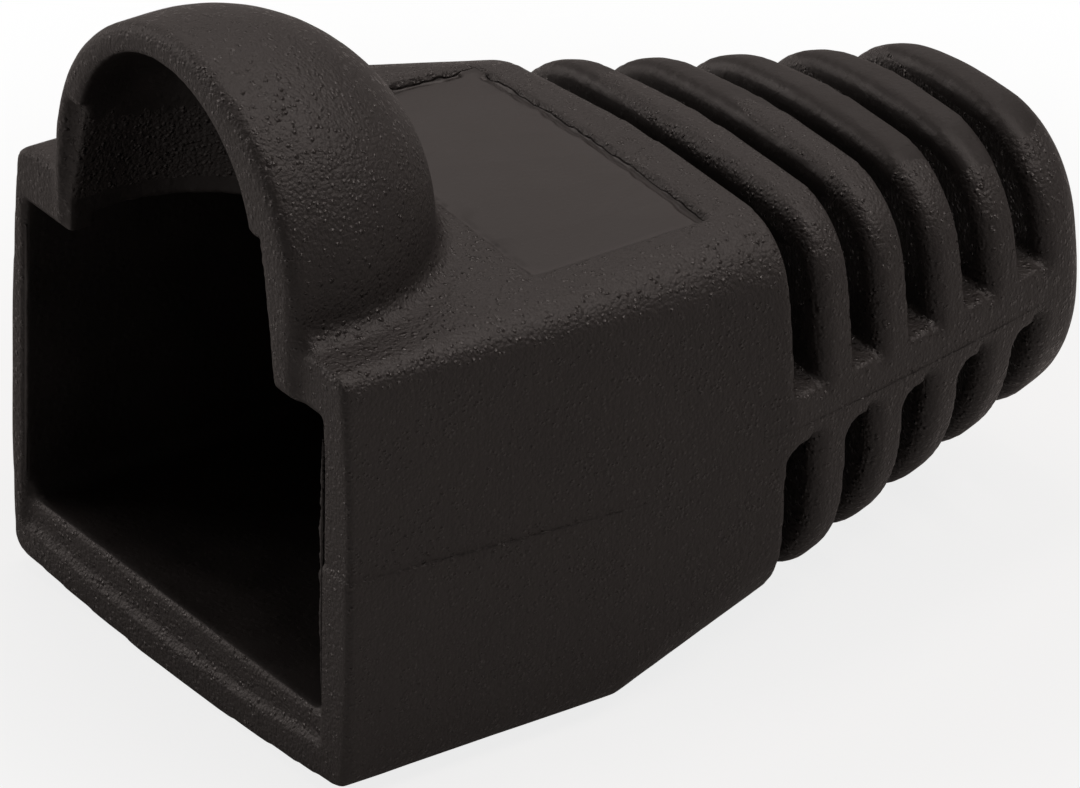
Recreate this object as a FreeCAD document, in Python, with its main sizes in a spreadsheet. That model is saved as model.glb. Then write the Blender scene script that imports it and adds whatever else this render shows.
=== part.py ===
"""Strain relief boot for a modular plug: one soft moulding, made as one PartDesign body.

The moulding is built about the cable's axis: X across, Y from the plug mouth towards the cable
end, Z up to the latch hood. The body's placement then stands it on its underside, centred over
its length.
All lengths are in millimetres.
"""
import FreeCAD, Part
import Sketcher
import math
import os

Vector = FreeCAD.Vector

doc = FreeCAD.newDocument("strain_relief_boot")

# ---------------------------------------------------------------- driving dimensions
DIMENSIONS = [
    # the box that covers the plug's rear half
    ("box_length", 12.17, "mouth to the box's back face, where the first slot starts"),
    ("overall_length", 22.2, "mouth to the cable end"),
    ("rise_length", 4.67, "back face to the knee, where the underside starts to rise"),
    ("mouth_wall", 0.94, "mean of the two side walls at the mouth, over the crown of the sides"),
    ("knee_wall", 1.04, "the same at the knee"),
    ("back_wall", 0.89, "the same at the back face"),
    ("mouth_roof_height", 5.41, "cable axis to the crown of the roof, at the mouth"),
    ("knee_roof_height", 5.4, "the same at the knee"),
    ("back_roof_height", 5.33, "the same at the back face"),
    ("mouth_floor_depth", 5.66, "cable axis to the crown of the underside, at the mouth"),
    ("knee_floor_depth", 5.66, "the same at the knee"),
    ("back_floor_depth", 4.75, "the same at the back face"),
    ("mouth_roof_crown", 0.25, "rise of the roof's middle over its edges"),
    ("knee_roof_crown", 0.28, "the same at the knee"),
    ("back_roof_crown", 0.45, "the same at the back face"),
    ("mouth_floor_crown", 0.38, "drop of the underside's middle below its edges"),
    ("knee_floor_crown", 0.4, "the same at the knee"),
    ("back_floor_crown", 0.6, "the same at the back face"),
    ("mouth_side_crown", 0.25, "bulge of the sides"),
    ("knee_side_crown", 0.4, "the same at the knee"),
    ("back_side_crown", 0.5, "the same at the back face"),
    ("mouth_side_level", -0.6, "height of the bulge's middle"),
    ("knee_side_level", -0.3, "the same at the knee"),
    ("back_side_level", 0.2, "the same at the back face"),
    ("mouth_crest", 0, "how far the roof's highest line stands to the right of its middle"),
    ("knee_crest", 0, "the same at the knee"),
    ("back_crest", 3.4, "the same at the back face"),
    ("mouth_right_corner", 0.5, "radius of the right long upper edge"),
    ("knee_right_corner", 1.0, "the same at the knee"),
    ("back_right_corner", 1.75, "the same at the back face"),
    ("mouth_left_corner", 0.5, "radius of the left long upper edge"),
    ("knee_left_corner", 1.0, "the same at the knee"),
    ("back_left_corner", 3.4, "the same at the back face"),
    ("mouth_floor_corner", 0.5, "radius of the long lower edges"),
    ("knee_floor_corner", 0.8, "the same at the knee"),
    ("back_floor_corner", 2.4, "the same at the back face"),
    # the ribbed tail, which carries the box's back section on to the cable end
    ("middle_distance", 0.22, "middle slot to the tail's middle section"),
    ("middle_width", 11.3, ""),
    ("middle_roof_height", 4.6, ""),
    ("middle_floor_depth", 4.6, ""),
    ("middle_roof_crown", 0.6, ""),
    ("middle_floor_crown", 0.7, ""),
    ("middle_side_crown", 0.8, ""),
    ("middle_side_level", 0, ""),
    ("middle_crest", 2.2, ""),
    ("middle_right_corner", 2.35, ""),
    ("middle_left_corner", 3.9, ""),
    ("middle_floor_corner", 4.0, ""),
    ("tip_width", 8.0, ""),
    ("tip_roof_height", 3.85, ""),
    ("tip_floor_depth", 3.75, ""),
    ("tip_roof_crown", 0.9, ""),
    ("tip_floor_crown", 0.9, ""),
    ("tip_side_crown", 0.9, ""),
    ("tip_side_level", 0, ""),
    ("tip_crest", 0.8, ""),
    ("tip_right_corner", 2.9, ""),
    ("tip_left_corner", 3.3, ""),
    ("tip_floor_corner", 3.5, ""),
    ("end_radius", 1.2, "rounding of the cable end"),
    ("slot_count", 5, ""),
    ("end_ring", 1.64, "last slot to the cable end"),
    ("row_fall", 1.8, "degrees by which the row of slots falls towards the cable end"),
    ("slot_width", 0.83, ""),
    ("slot_end_radius", 0.45, "front corner of each lower slot's end, beside the web"),
    ("lower_slot_lead", 0.22, "how much nearer the mouth each lower slot stands than its upper one"),
    ("web_top", 1.2, "cable axis to the first upper slot's end, above the web on each side"),
    ("web_bottom", -0.14, "cable axis to the first lower slot's end, below the web"),
    # the latch hood
    ("hood_radius", 4.97, ""),
    ("hood_centre_position", 1.0, "from the mouth to the dome's centre"),
    ("hood_centre_height", 5.87, "cable axis to the dome's centre"),
    ("hood_proud", 0.2, "how far the hood's face stands out of the mouth's face"),
    ("hood_lip_radius", 0.35, "rounding of the outer edge of the hood's face"),
    ("hood_wall", 1.42, "thickness of the arch over the hollow"),
    ("hollow_centre_height", 6.48, ""),
    ("leg_thickness", 0.87, "mean of the arch's two legs, at their feet"),
    ("hollow_shift", -0.35, "the hollow's middle, to one side of the boot's"),
    ("hollow_foot_height", 4.6, "cable axis to where the arch's legs stop spreading"),
    ("leg_rebate_width", 0.35, "shallow rebate along the inside of the arch's legs"),
    ("leg_rebate_depth", 0.25, ""),
    ("leg_rebate_height", 7.4, "cable axis to the top of the rebate"),
    # the inside, whose core stands a little to one side
    ("core_shift", -0.28, "the cavity's middle, to one side of the boot's"),
    ("plug_width", 11.68, "body of the modular plug"),
    ("plug_side_clearance", 0.17, "between the plug and each wall"),
    ("ceiling_height", 3.83, "cable axis to the underside of the roof's lip"),
    ("cavity_floor_depth", 3.8, "cable axis to the raised floor"),
    ("lip_floor_depth", 4.72, "cable axis to the middle of the mouth's lower lip"),
    ("lip_crown", 0.28, "rise of that lip's ends over its middle"),
    ("lip_length", 0.14, "the raised floor starts this far behind the lip's face"),
    ("roof_lip_length", 0.8, "length of the roof's lip, in front of the relief"),
    ("roof_relief", 0.35, "extra height of the cavity behind the roof's lip"),
    ("cavity_depth", 9.2, "mouth to the shoulder that the plug's end meets"),
    ("throat_half_width", 4.9, "where the throat leaves the cavity"),
    ("throat_half_height", 3.4, ""),
    ("throat_length", 2.5, "shoulder to the cable bore"),
    ("bore_radius", 2.9, "cable bore, an easy fit on a cable 5.5 mm across"),
    # the shallow label panel
    ("panel_land", 1.2, "panel to the box's back face"),
    ("panel_length", 4.67, ""),
    ("panel_width", 9.3, ""),
    ("panel_shift", 0.25, ""),
    ("panel_depth", 0.12, ""),
]

sheet = doc.addObject("Spreadsheet::Sheet", "dimensions")
for row, (alias, value, note) in enumerate(DIMENSIONS, start=1):
    sheet.set(f"A{row}", alias)
    sheet.set(f"B{row}", str(value))
    sheet.set(f"C{row}", note)
    sheet.setAlias(f"B{row}", alias)
doc.recompute()


def named(alias):
    """The expression that reads one of the sheet's values."""
    return f"dimensions.{alias}"


def size(expression):
    """The present value of an expression, to lay a sketch out near its final shape."""
    return float(sheet.evalExpression(expression))


# ---------------------------------------------------------------- sizes that follow from those
CAVITY_HALF_WIDTH = "(dimensions.plug_width / 2 + dimensions.plug_side_clearance)"
SLOT_BACK = "(dimensions.box_length + dimensions.slot_width)"
SLOT_REACH = "(dimensions.mouth_floor_depth + 1)"
LOWER_SLOT_FRONT = "(dimensions.box_length - dimensions.lower_slot_lead)"
LOWER_SLOT_BACK = f"({LOWER_SLOT_FRONT} + dimensions.slot_width)"
SLOT_ROW_LENGTH = f"(dimensions.overall_length - dimensions.end_ring - {SLOT_BACK})"
POSITIONS = {
    "mouth": "0",
    "knee": "(dimensions.box_length - dimensions.rise_length)",
    "back": "dimensions.box_length",
    "middle": f"({SLOT_BACK} + {SLOT_ROW_LENGTH} / 2 + dimensions.middle_distance)",
    "tip": "dimensions.overall_length",
}
HOOD_LENGTH = "(dimensions.hood_centre_position + dimensions.hood_proud)"
HOLLOW_RADIUS = "(dimensions.hood_radius - dimensions.hood_wall)"
HOLLOW_FOOT = "(dimensions.hood_radius - dimensions.leg_thickness)"
LIP_END_DEPTH = "(dimensions.lip_floor_depth - dimensions.lip_crown)"
THROAT_END = "(dimensions.cavity_depth + dimensions.throat_length)"
PANEL_BACK = "(dimensions.box_length - dimensions.panel_land)"
PANEL_FRONT = f"({PANEL_BACK} - dimensions.panel_length)"


def outer_size(place, quantity):
    """Expression for one size of the outer form at a named place.

    The box is as wide as what it covers needs.
    """
    if quantity == "width" and place in ("mouth", "knee", "back"):
        return f"(2 * ({CAVITY_HALF_WIDTH} + dimensions.{place}_wall))"
    return f"dimensions.{place}_{quantity}"


body = doc.addObject("PartDesign::Body", "boot")
body.Label = "strain_relief_boot"


def origin_plane(role):
    return next(feature for feature in body.Origin.OriginFeatures if feature.Role == role)


def new_sketch(name, role, offset=None):
    """A sketch on one of the body's planes, moved along that plane's normal by an expression."""
    sketch = body.newObject("Sketcher::SketchObject", name)
    sketch.AttachmentSupport = [(origin_plane(role), "")]
    sketch.MapMode = "FlatFace"
    if offset is not None:
        sketch.setExpression("AttachmentOffset.Base.z", offset)
    return sketch


def cross_section(name, position, shift="0"):
    """A sketch across the boot, that far behind the mouth and to one side.

    Its X is the boot's X, and its Y is up.
    """
    sketch = new_sketch(name, "XZ_Plane", f"-({position})")
    sketch.setExpression("AttachmentOffset.Base.x", shift)
    return sketch


def bind(sketch, constraint, expression):
    """Adds a dimension to a sketch and ties it to the sheet."""
    index = sketch.addConstraint(constraint)
    sketch.setExpression(f"Constraints[{index}]", expression)


def arc(centre, radius, start, end):
    circle = Part.Circle(Vector(centre[0], centre[1], 0), Vector(0, 0, 1), radius)
    return Part.ArcOfCircle(circle, start, end)


def line(start, end):
    return Part.LineSegment(Vector(start[0], start[1], 0), Vector(end[0], end[1], 0))


def direction(start, end):
    return math.atan2(end[1] - start[1], end[0] - start[0])


def arch_radius(span, rise):
    """Expression for the radius of an arc that rises that much over that span."""
    return f"({span}^2 / (8 * {rise}) + {rise} / 2)"


def inner_tangent_centre(first, first_radius, second, second_radius, radius):
    """The centre, to the right of the Y axis, of a circle that touches two larger ones from inside."""
    reach_first = first_radius - radius
    reach_second = second_radius - radius
    span = math.dist(first, second)
    along = (reach_first**2 - reach_second**2 + span**2) / (2 * span)
    across = math.sqrt(reach_first**2 - along**2)
    angle = direction(first, second)
    centres = [
        (
            first[0] + along * math.cos(angle) - side * across * math.sin(angle),
            first[1] + along * math.sin(angle) + side * across * math.cos(angle),
        )
        for side in (-1, 1)
    ]
    return max(centres)


def coordinate(sketch, geometry, point, axis, expression):
    """Ties one coordinate of a point to the sheet, measured from the sketch's origin."""
    kind = "DistanceX" if axis == "x" else "DistanceY"
    bind(sketch, Sketcher.Constraint(kind, -1, 1, geometry, point, size(expression)), expression)


def mirrored(point):
    return (-point[0], point[1])


def crowned_section(name, position, width, heights, crowns, corners, level, crest):
    """A rectangle with four crowned sides and rounded corners. Every size is an expression.

    heights are those of the roof's crest and the underside's middle, above and below the sketch's
    origin; crowns are the roof's, the underside's and the sides'; corners are the upper right, the
    upper left and the lower radius; level is the height of the middle of the sides' bulge; crest is
    how far the roof's crest stands to the right.
    """
    roof, floor = heights
    roof_crown, floor_crown, side_crown = crowns
    right_corner, left_corner, floor_corner = corners
    roof_radius = arch_radius(width, roof_crown)
    floor_radius = arch_radius(width, floor_crown)
    side_radius = arch_radius(f"({roof} + {floor})", side_crown)

    roof_centre = (size(crest), size(f"{roof} - {roof_radius}"))
    floor_centre = (0, size(f"{floor_radius} - {floor}"))
    right_centre = (size(f"{width} / 2 - {side_radius}"), size(level))
    left_centre = mirrored(right_centre)
    upper_right = inner_tangent_centre(
        roof_centre, size(roof_radius), right_centre, size(side_radius), size(right_corner)
    )
    upper_left = mirrored(
        inner_tangent_centre(
            mirrored(roof_centre),
            size(roof_radius),
            right_centre,
            size(side_radius),
            size(left_corner),
        )
    )
    lower_right = inner_tangent_centre(
        floor_centre, size(floor_radius), right_centre, size(side_radius), size(floor_corner)
    )
    lower_left = mirrored(lower_right)

    # anticlockwise, from the right side's lower end
    full_turn = 2 * math.pi
    roof_start = direction(roof_centre, upper_right)
    roof_end = direction(roof_centre, upper_left)
    left_start = direction(left_centre, upper_left)
    side_start = direction(right_centre, lower_right)
    side_end = direction(right_centre, upper_right)
    floor_end = direction(floor_centre, lower_right)
    arcs = [
        (right_centre, side_radius, side_start, side_end),
        (upper_right, right_corner, side_end, roof_start),
        (roof_centre, roof_radius, roof_start, roof_end),
        (upper_left, left_corner, roof_end, left_start),
        (left_centre, side_radius, left_start, math.pi - side_start),
        (lower_left, floor_corner, math.pi - side_start, math.pi - floor_end),
        (floor_centre, floor_radius, math.pi - floor_end, full_turn + floor_end),
        (lower_right, floor_corner, full_turn + floor_end, full_turn + side_start),
    ]
    sketch = cross_section(name, position)
    for index, (centre, radius, start, end) in enumerate(arcs):
        sketch.addGeometry(arc(centre, size(radius), start, end), False)
        bind(sketch, Sketcher.Constraint("Radius", index, size(radius)), radius)
    for index in range(len(arcs)):
        following = (index + 1) % len(arcs)
        sketch.addConstraint(Sketcher.Constraint("Tangent", index, 2, following, 1))
    coordinate(sketch, 0, 3, "x", f"{width} / 2 - {side_radius}")
    coordinate(sketch, 4, 3, "x", f"{side_radius} - {width} / 2")
    for side in (0, 4):
        coordinate(sketch, side, 3, "y", level)
    coordinate(sketch, 2, 3, "x", crest)
    coordinate(sketch, 2, 3, "y", f"{roof} - {roof_radius}")
    sketch.addConstraint(Sketcher.Constraint("PointOnObject", 6, 3, -2))
    coordinate(sketch, 6, 3, "y", f"{floor_radius} - {floor}")
    return sketch


def loft(kind, name, sections, ruled=False):
    feature = body.newObject(kind, name)
    feature.Profile = sections[0]
    feature.Sections = sections[1:]
    feature.Ruled = ruled
    return feature


def edges_where(feature, test):
    """Names of a feature's edges that pass a test, apart from a dome's pole, which has no length."""
    doc.recompute()
    return [
        f"Edge{index}"
        for index, edge in enumerate(feature.Shape.Edges, start=1)
        if not edge.Degenerated and test(edge)
    ]


def fillet(name, feature, test, radius):
    rounding = body.newObject("PartDesign::Fillet", name)
    rounding.Base = (feature, edges_where(feature, test))
    rounding.setExpression("Radius", radius)
    return rounding


def middle(edge):
    return edge.valueAt((edge.FirstParameter + edge.LastParameter) / 2)


def lies_at(edge, position):
    """True if an edge lies in the plane across the boot at that distance behind the mouth."""
    ends = [vertex.Point.y for vertex in edge.Vertexes]
    return all(abs(y - position) < 1e-4 for y in ends + [middle(edge).y])


def closed_lines(sketch, points):
    """Adds a closed outline of straight lines, and returns the first line's index."""
    first = sketch.GeometryCount
    count = len(points)
    sketch.addGeometry([line(points[i], points[(i + 1) % count]) for i in range(count)], False)
    for i in range(count):
        sketch.addConstraint(Sketcher.Constraint("Coincident", first + i, 2, first + (i + 1) % count, 1))
    return first


def level(sketch, *lines):
    for index in lines:
        sketch.addConstraint(Sketcher.Constraint("Horizontal", index))


def upright(sketch, *lines):
    for index in lines:
        sketch.addConstraint(Sketcher.Constraint("Vertical", index))


def outline(sketch, pieces, smooth=()):
    """Adds lines and arcs that follow each other round a closed outline.

    smooth lists the pieces that run on smoothly into the next one.
    """
    first = sketch.GeometryCount
    sketch.addGeometry(pieces, False)
    count = len(pieces)
    for step in range(count):
        kind = "Tangent" if step in smooth else "Coincident"
        sketch.addConstraint(Sketcher.Constraint(kind, first + step, 2, first + (step + 1) % count, 1))


def extrusion(kind, name, sketch, length, reverse=False):
    feature = body.newObject(kind, name)
    feature.Profile = sketch
    feature.setExpression("Length", length)
    feature.Reversed = reverse
    return feature


def half_turn(kind, name, sketch):
    """Half a turn of a sketch about its own upright axis, towards the cable end."""
    feature = body.newObject(kind, name)
    feature.Profile = sketch
    feature.ReferenceAxis = (sketch, ["V_Axis"])
    feature.Angle = 180
    return feature


# ---------------------------------------------------------------- the latch hood
# an arched wall that stands up from the mouth's roof, and half a dome behind it
radius = size("dimensions.hood_radius")
centre_height = size("dimensions.hood_centre_height")
foot = size("dimensions.ceiling_height")
hood_arch = cross_section("hood_arch", named("hood_centre_position"))
hood_arch.addGeometry(
    [
        arc((0, centre_height), radius, 0, math.pi),
        line((-radius, centre_height), (-radius, foot)),
        line((-radius, foot), (radius, foot)),
        line((radius, foot), (radius, centre_height)),
    ],
    False,
)
hood_arch.addConstraint(Sketcher.Constraint("Tangent", 0, 2, 1, 1))
hood_arch.addConstraint(Sketcher.Constraint("Coincident", 1, 2, 2, 1))
hood_arch.addConstraint(Sketcher.Constraint("Coincident", 2, 2, 3, 1))
hood_arch.addConstraint(Sketcher.Constraint("Tangent", 3, 2, 0, 1))
hood_arch.addConstraint(Sketcher.Constraint("PointOnObject", 0, 3, -2))
level(hood_arch, 2)
upright(hood_arch, 1)
bind(hood_arch, Sketcher.Constraint("Radius", 0, radius), "dimensions.hood_radius")
coordinate(hood_arch, 0, 3, "y", "dimensions.hood_centre_height")
coordinate(hood_arch, 2, 1, "y", "dimensions.ceiling_height")
extrusion("PartDesign::Pad", "hood_front", hood_arch, HOOD_LENGTH)

dome_profile = cross_section("dome_profile", named("hood_centre_position"))
outline(
    dome_profile,
    [
        line((0, foot), (radius, foot)),
        line((radius, foot), (radius, centre_height)),
        arc((0, centre_height), radius, 0, math.pi / 2),
        line((0, centre_height + radius), (0, foot)),
    ],
)
level(dome_profile, 0)
upright(dome_profile, 1)
dome_profile.addConstraint(Sketcher.Constraint("PointOnObject", 2, 3, -2))
dome_profile.addConstraint(Sketcher.Constraint("PointOnObject", 3, 1, -2))
dome_profile.addConstraint(Sketcher.Constraint("PointOnObject", 3, 2, -2))
bind(dome_profile, Sketcher.Constraint("Radius", 2, radius), "dimensions.hood_radius")
coordinate(dome_profile, 2, 3, "y", "dimensions.hood_centre_height")
coordinate(dome_profile, 2, 1, "y", "dimensions.hood_centre_height")
coordinate(dome_profile, 0, 1, "y", "dimensions.hollow_foot_height")
dome = half_turn("PartDesign::Revolution", "dome", dome_profile)

hood_face = size("-dimensions.hood_proud")
fillet(
    "hood_lip",
    dome,
    lambda edge: lies_at(edge, hood_face) and middle(edge).z > foot,
    "dimensions.hood_lip_radius",
)


# ---------------------------------------------------------------- the box
def outer_section(place):
    """The outer form at one named place along the boot."""
    return crowned_section(
        f"{place}_section",
        POSITIONS[place],
        outer_size(place, "width"),
        (outer_size(place, "roof_height"), outer_size(place, "floor_depth")),
        tuple(outer_size(place, f"{side}_crown") for side in ("roof", "floor", "side")),
        tuple(outer_size(place, f"{edge}_corner") for edge in ("right", "left", "floor")),
        outer_size(place, "side_level"),
        outer_size(place, "crest"),
    )


outer = {place: outer_section(place) for place in POSITIONS}
loft("PartDesign::AdditiveLoft", "box_front", [outer["mouth"], outer["knee"]])
loft("PartDesign::AdditiveLoft", "box_back", [outer["knee"], outer["back"]])
tail = loft("PartDesign::AdditiveLoft", "tail", [outer["back"], outer["middle"], outer["tip"]])
fillet(
    "end_rounding",
    tail,
    lambda edge: lies_at(edge, size("dimensions.overall_length")),
    "dimensions.end_radius",
)

# ---------------------------------------------------------------- the slots
# one upper and one lower slot, drawn in side view and cut right across, then repeated along the tail
slots = new_sketch("slot_profile", "YZ_Plane")
front = size("dimensions.box_length")
near = front
far = size(SLOT_BACK)
web_top = size("dimensions.web_top")
web_bottom = size("dimensions.web_bottom")
reach = size(SLOT_REACH)
curl = size("dimensions.slot_end_radius")

upper = closed_lines(slots, [(near, web_top), (far, web_top), (far, reach), (near, reach)])
level(slots, upper, upper + 2)
upright(slots, upper + 1, upper + 3)
coordinate(slots, upper, 1, "x", "dimensions.box_length")
coordinate(slots, upper, 1, "y", "dimensions.web_top")
coordinate(slots, upper + 1, 2, "x", SLOT_BACK)
coordinate(slots, upper + 1, 2, "y", SLOT_REACH)

near = size(LOWER_SLOT_FRONT)
far = size(LOWER_SLOT_BACK)
lower = slots.GeometryCount
slots.addGeometry(
    [
        line((near + curl, web_bottom), (far, web_bottom)),
        line((far, web_bottom), (far, -reach)),
        line((far, -reach), (near, -reach)),
        line((near, -reach), (near, web_bottom - curl)),
        arc((near + curl, web_bottom - curl), curl, math.pi / 2, math.pi),
    ],
    False,
)
for index in (lower, lower + 1, lower + 2):
    slots.addConstraint(Sketcher.Constraint("Coincident", index, 2, index + 1, 1))
slots.addConstraint(Sketcher.Constraint("Tangent", lower + 3, 2, lower + 4, 2))
slots.addConstraint(Sketcher.Constraint("Tangent", lower + 4, 1, lower, 1))
level(slots, lower, lower + 2)
upright(slots, lower + 1, lower + 3)
bind(slots, Sketcher.Constraint("Radius", lower + 4, curl), "dimensions.slot_end_radius")
coordinate(slots, lower, 2, "x", LOWER_SLOT_BACK)
coordinate(slots, lower, 2, "y", "dimensions.web_bottom")
coordinate(slots, lower + 3, 1, "x", LOWER_SLOT_FRONT)
coordinate(slots, lower + 3, 1, "y", f"-{SLOT_REACH}")

# the row follows the parting line, which falls a little towards the cable end
fall = size("dimensions.row_fall")
row_line = slots.addGeometry(
    line((front, 0), (front + 1, -math.tan(math.radians(fall)))), True
)
coordinate(slots, row_line, 1, "x", "dimensions.box_length")
slots.addConstraint(Sketcher.Constraint("PointOnObject", row_line, 1, -1))
bind(slots, Sketcher.Constraint("Distance", row_line, 1), "1 mm")
bind(
    slots,
    Sketcher.Constraint("Angle", -1, 1, row_line, 1, math.radians(-fall)),
    "-dimensions.row_fall * 1 deg",
)

slot = body.newObject("PartDesign::Pocket", "slot")
slot.Profile = slots
slot.Type = "ThroughAll"
slot.Midplane = True
slot_row = body.newObject("PartDesign::LinearPattern", "slot_row")
slot_row.Originals = [slot]
slot_row.Direction = (slots, ["Axis0"])
slot_row.setExpression("Length", SLOT_ROW_LENGTH)
slot_row.setExpression("Occurrences", "dimensions.slot_count")
body.Tip = slot_row


# ---------------------------------------------------------------- the inside
def hollow_section(name, half):
    """The hood's hollow: an arch on legs that spread towards the foot, and run on into the cavity.

    half keeps the part to the right of the upright axis.
    """
    sketch = cross_section(name, named("hood_centre_position"), named("hollow_shift"))
    inner = size(HOLLOW_RADIUS)
    top = size("dimensions.hollow_centre_height")
    spread = size(HOLLOW_FOOT)
    low = size("dimensions.hollow_foot_height")
    # the leg touches the arch where the radius stands square to it
    reach = math.dist((0, top), (spread, low))
    angle = direction((0, top), (spread, low)) + math.acos(inner / reach)
    touch = (inner * math.cos(angle), top + inner * math.sin(angle))
    right = [
        line((spread, 0), (spread, low)),
        line((spread, low), touch),
    ]
    if half:
        outline(
            sketch,
            [line((0, 0), (spread, 0))]
            + right
            + [arc((0, top), inner, angle, math.pi / 2), line((0, top + inner), (0, 0))],
            smooth=(2,),
        )
        sketch.addConstraint(Sketcher.Constraint("PointOnObject", 4, 1, -2))
    else:
        outline(
            sketch,
            [line((-spread, 0), (spread, 0))]
            + right
            + [
                arc((0, top), inner, angle, math.pi - angle),
                line((-touch[0], touch[1]), (-spread, low)),
                line((-spread, low), (-spread, 0)),
            ],
            smooth=(2, 3),
        )
        coordinate(sketch, 5, 1, "x", f"-{HOLLOW_FOOT}")
        coordinate(sketch, 5, 1, "y", "dimensions.hollow_foot_height")
        upright(sketch, 5)
    sketch.addConstraint(Sketcher.Constraint("PointOnObject", 3, 3, -2))
    sketch.addConstraint(Sketcher.Constraint("PointOnObject", 0, 1, -1))
    sketch.addConstraint(Sketcher.Constraint("PointOnObject", 0, 2, -1))
    upright(sketch, 1)
    bind(sketch, Sketcher.Constraint("Radius", 3, inner), HOLLOW_RADIUS)
    coordinate(sketch, 3, 3, "y", "dimensions.hollow_centre_height")
    coordinate(sketch, 1, 2, "x", HOLLOW_FOOT)
    coordinate(sketch, 1, 2, "y", "dimensions.hollow_foot_height")
    if half:
        sketch.addConstraint(Sketcher.Constraint("PointOnObject", 4, 2, -2))
    return sketch


hollow_arch = hollow_section("hollow_arch", half=False)
extrusion("PartDesign::Pocket", "hollow_front", hollow_arch, f"{HOOD_LENGTH} + 1", reverse=True)
half_turn("PartDesign::Groove", "hollow_dome", hollow_section("hollow_profile", half=True))


def core_rectangle(name, position, low, high):
    """A rectangle across the boot, as wide as the core that the plug fits."""
    sketch = cross_section(name, position, named("core_shift"))
    reach = size(CAVITY_HALF_WIDTH)
    corners = [
        (-reach, size(low)),
        (reach, size(low)),
        (reach, size(high)),
        (-reach, size(high)),
    ]
    first = closed_lines(sketch, corners)
    level(sketch, first, first + 2)
    upright(sketch, first + 1, first + 3)
    coordinate(sketch, first, 1, "x", f"-{CAVITY_HALF_WIDTH}")
    coordinate(sketch, first, 1, "y", low)
    coordinate(sketch, first + 1, 2, "x", CAVITY_HALF_WIDTH)
    coordinate(sketch, first + 1, 2, "y", high)
    return sketch


half_width = size(CAVITY_HALF_WIDTH)
ceiling = size("dimensions.ceiling_height")
lip_middle = size("-dimensions.lip_floor_depth")
lip_end = -size(LIP_END_DEPTH)
lip_radius = arch_radius(f"(2 * {CAVITY_HALF_WIDTH})", "dimensions.lip_crown")
lip_centre = (0, lip_middle + size(lip_radius))
mouth_rebate_section = cross_section("mouth_rebate_section", "0", named("core_shift"))
outline(
    mouth_rebate_section,
    [
        arc(
            lip_centre,
            size(lip_radius),
            direction(lip_centre, (-half_width, lip_end)),
            direction(lip_centre, (half_width, lip_end)),
        ),
        line((half_width, lip_end), (half_width, ceiling)),
        line((half_width, ceiling), (-half_width, ceiling)),
        line((-half_width, ceiling), (-half_width, lip_end)),
    ],
)
upright(mouth_rebate_section, 1, 3)
level(mouth_rebate_section, 2)
coordinate(mouth_rebate_section, 1, 2, "x", CAVITY_HALF_WIDTH)
coordinate(mouth_rebate_section, 1, 2, "y", "dimensions.ceiling_height")
coordinate(mouth_rebate_section, 2, 2, "x", f"-{CAVITY_HALF_WIDTH}")
mouth_rebate_section.addConstraint(Sketcher.Constraint("PointOnObject", 0, 3, -2))
coordinate(mouth_rebate_section, 0, 1, "y", f"-{LIP_END_DEPTH}")
bind(mouth_rebate_section, Sketcher.Constraint("Radius", 0, size(lip_radius)), lip_radius)
extrusion("PartDesign::Pocket", "mouth_rebate", mouth_rebate_section, "dimensions.lip_length")
extrusion(
    "PartDesign::Pocket",
    "cavity",
    core_rectangle("cavity_section", "0", "-dimensions.cavity_floor_depth", "dimensions.ceiling_height"),
    "dimensions.cavity_depth",
)
extrusion(
    "PartDesign::Pocket",
    "roof_relief",
    core_rectangle(
        "roof_relief_section",
        named("roof_lip_length"),
        "0",
        "dimensions.ceiling_height + dimensions.roof_relief",
    ),
    "dimensions.cavity_depth - dimensions.roof_lip_length",
)

throat_start = cross_section("throat_start", named("cavity_depth"))
half_width = size("dimensions.throat_half_width")
half_height = size("dimensions.throat_half_height")
throat_start.addGeometry(
    Part.Ellipse(Vector(half_width, 0, 0), Vector(0, half_height, 0), Vector(0, 0, 0)), False
)
throat_start.exposeInternalGeometry(0)
throat_start.addConstraint(Sketcher.Constraint("Coincident", 0, 3, -1, 1))
throat_start.addConstraint(Sketcher.Constraint("Horizontal", 1))
bind(
    throat_start,
    Sketcher.Constraint("Distance", 1, 2 * half_width),
    "2 * dimensions.throat_half_width",
)
bind(
    throat_start,
    Sketcher.Constraint("Distance", 2, 2 * half_height),
    "2 * dimensions.throat_half_height",
)


def bore_circle(name, position):
    sketch = cross_section(name, position)
    circle = Part.Circle(Vector(0, 0, 0), Vector(0, 0, 1), size("dimensions.bore_radius"))
    sketch.addGeometry(circle, False)
    sketch.addConstraint(Sketcher.Constraint("Coincident", 0, 3, -1, 1))
    bind(sketch, Sketcher.Constraint("Radius", 0, circle.Radius), "dimensions.bore_radius")
    return sketch


loft(
    "PartDesign::SubtractiveLoft",
    "throat",
    [throat_start, bore_circle("throat_finish", THROAT_END)],
)
bore = body.newObject("PartDesign::Pocket", "bore")
bore.Profile = bore_circle("bore_section", THROAT_END)
bore.Type = "ThroughAll"

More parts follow.
